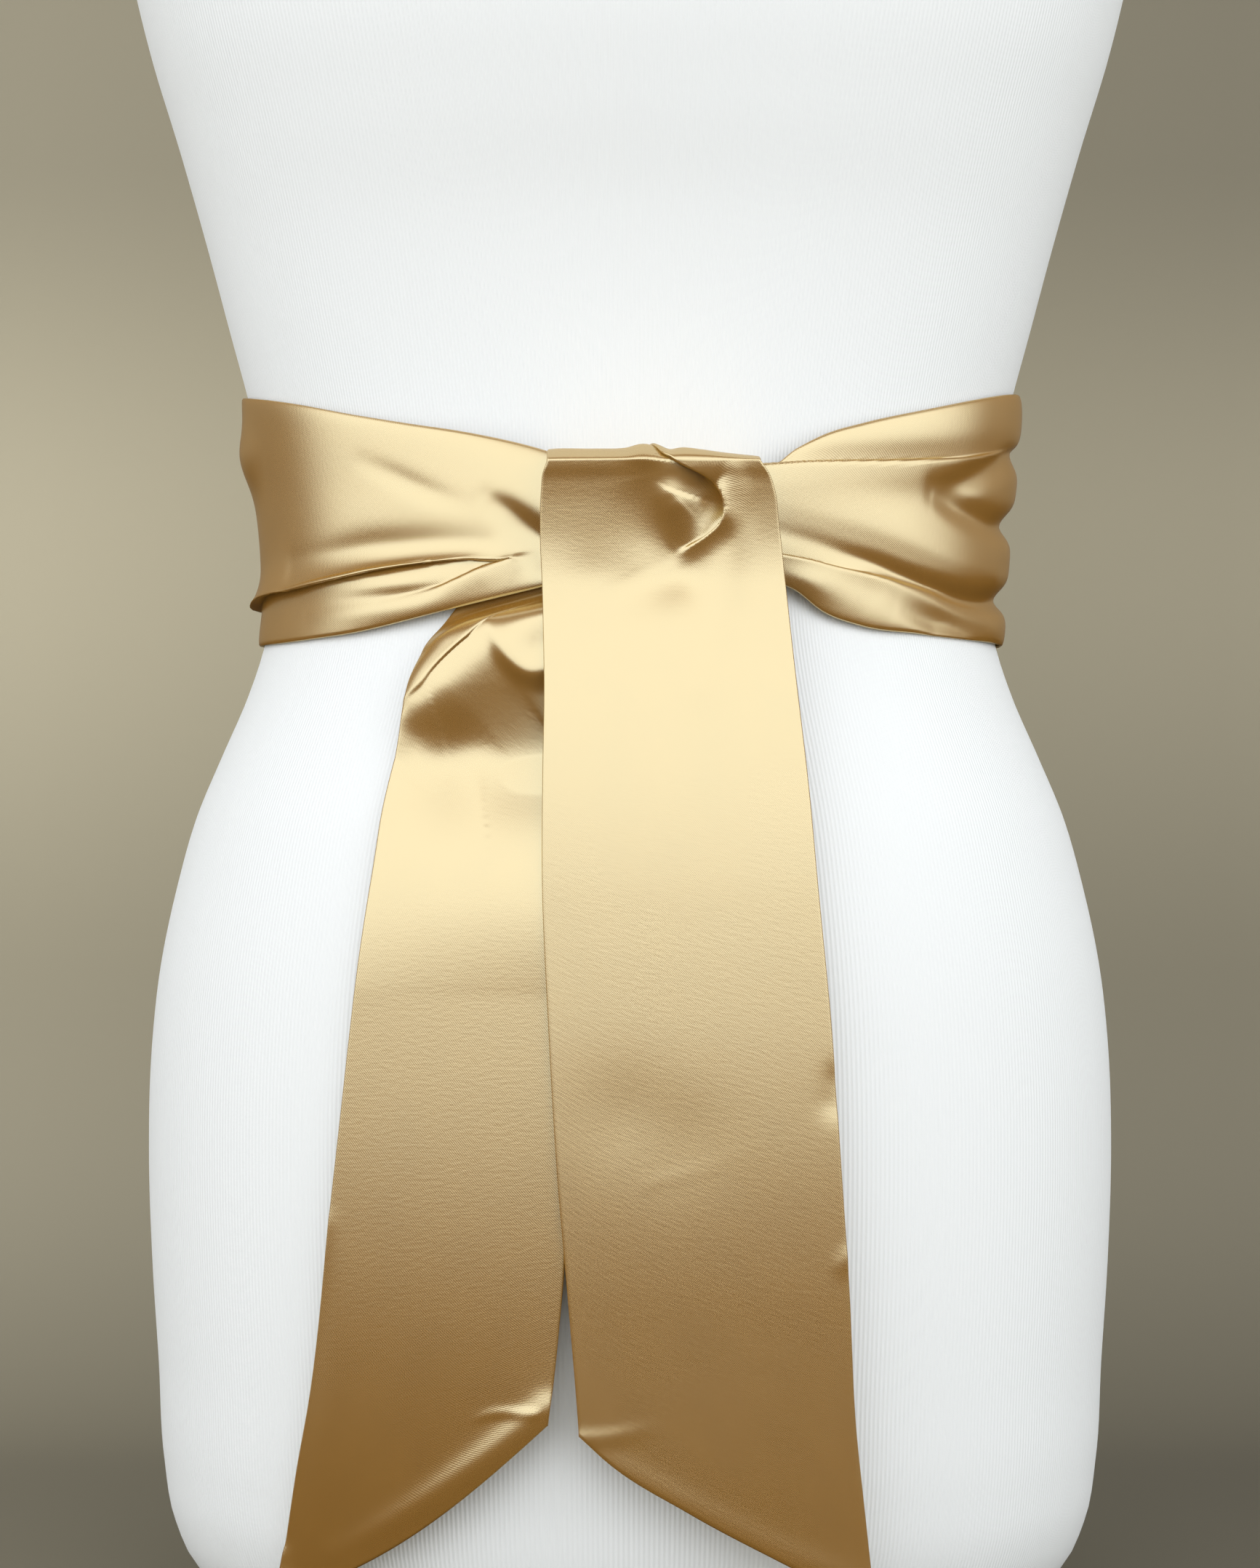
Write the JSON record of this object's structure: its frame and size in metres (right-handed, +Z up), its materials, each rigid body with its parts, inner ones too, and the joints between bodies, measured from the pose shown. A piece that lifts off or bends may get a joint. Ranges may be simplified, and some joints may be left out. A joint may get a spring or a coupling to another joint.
{
  "type": "satin sash on dress form",
  "caption": "Satin sash tied once round the waist of a limbless dress form, with slanted tails hanging in front.",
  "frame": {"origin": "middle of the flat underside of the dress form, on the surface that it stands on", "axes": "+Z up, -Y out of the front where the knot is, +X towards the viewer's right"},
  "size_m": [0.364, 0.255, 0.854],
  "materials": {
    "satin": "gold satin weave, soft sheen",
    "jersey": "white fine rib jersey, matt"
  },
  "bodies": {
    "root": {"dress_form": "jersey", "sash_wrap": "satin", "sash_knot": "satin", "sash_front_tail": "satin", "sash_under_tail": "satin"}
  },
  "joints": []
}
